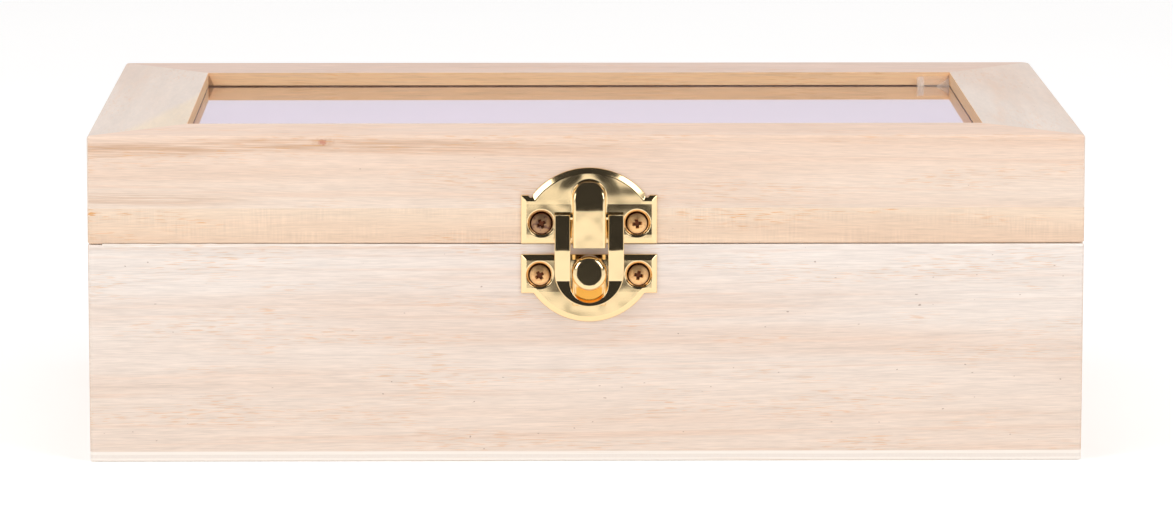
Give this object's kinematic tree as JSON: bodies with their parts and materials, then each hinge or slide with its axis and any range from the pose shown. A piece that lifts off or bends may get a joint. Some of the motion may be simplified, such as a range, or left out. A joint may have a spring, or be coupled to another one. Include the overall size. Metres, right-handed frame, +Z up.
{
  "type": "sewing box",
  "caption": "Pale wooden box with a hinged lid, a mitred window frame with a clear pane, and a polished brass swing latch on the front.",
  "frame": {"origin": "centre of the underside of the bottom panel, which the box stands on", "axes": "+X to the right along the front, +Y from the latch towards the hinges, +Z up through the lid"},
  "size_m": [0.24, 0.1599, 0.0795],
  "materials": {
    "wall_wood": "bare pale wood, sanded, fine straight grain",
    "frame_wood": "bare pale wood, sanded, with brown growth lines",
    "rim_wood": "bare yellower wood with fine saw marks",
    "bead_wood": "bare wood strip",
    "plywood": "three-ply panel, bare, with its plies showing at the edges",
    "clear_pane": "clear glossy pane with a faint lilac cast",
    "polished_brass": "stamped sheet, brightly polished brass plating",
    "copper_screw": "warm copper-gold plated steel",
    "aged_screw": "darker, purplish brown plated steel",
    "hinge_brass": "polished brass plating",
    "hinge_screw": "brass-plated steel"
  },
  "bodies": {
    "base": {"base_front_wall": "wall_wood", "base_rear_wall": "wall_wood", "base_left_wall": "wall_wood", "base_right_wall": "wall_wood", "base_bottom_panel": "plywood", "latch_lower_plate": "polished_brass", "latch_lower_screw_left": "copper_screw", "latch_lower_screw_right": "copper_screw", "hinge_left_base_leaf": "hinge_brass", "hinge_right_base_leaf": "hinge_brass", "hinge_left_pin": "hinge_brass", "hinge_right_pin": "hinge_brass", "hinge_screws_base": "hinge_screw"},
    "lid": {"lid_front_frame_rail": "frame_wood", "lid_rear_frame_rail": "frame_wood", "lid_left_frame_rail": "frame_wood", "lid_right_frame_rail": "frame_wood", "lid_front_rim": "rim_wood", "lid_rear_rim": "rim_wood", "lid_left_rim": "rim_wood", "lid_right_rim": "rim_wood", "window_pane": "clear_pane", "pane_bead_front": "bead_wood", "pane_bead_rear": "bead_wood", "pane_bead_left": "bead_wood", "pane_bead_right": "bead_wood", "latch_upper_plate": "polished_brass", "latch_upper_screw_left": "aged_screw", "latch_upper_screw_right": "copper_screw", "hinge_left_lid_leaf": "hinge_brass", "hinge_right_lid_leaf": "hinge_brass", "hinge_screws_lid": "hinge_screw"},
    "hasp": {"latch_hasp": "polished_brass"}
  },
  "joints": [
    {"name": "lid_hinge", "type": "hinge", "parent": "base", "child": "lid", "pos_m": [0, 0.0773, 0.05318], "axis": [-1, 0, 0], "range_deg": [0, 105]},
    {"name": "hasp_swing", "type": "hinge", "parent": "lid", "child": "hasp", "pos_m": [0.0006, -0.0774, 0.06003], "axis": [-1, 0, 0], "range_deg": [0, 160]}
  ]
}
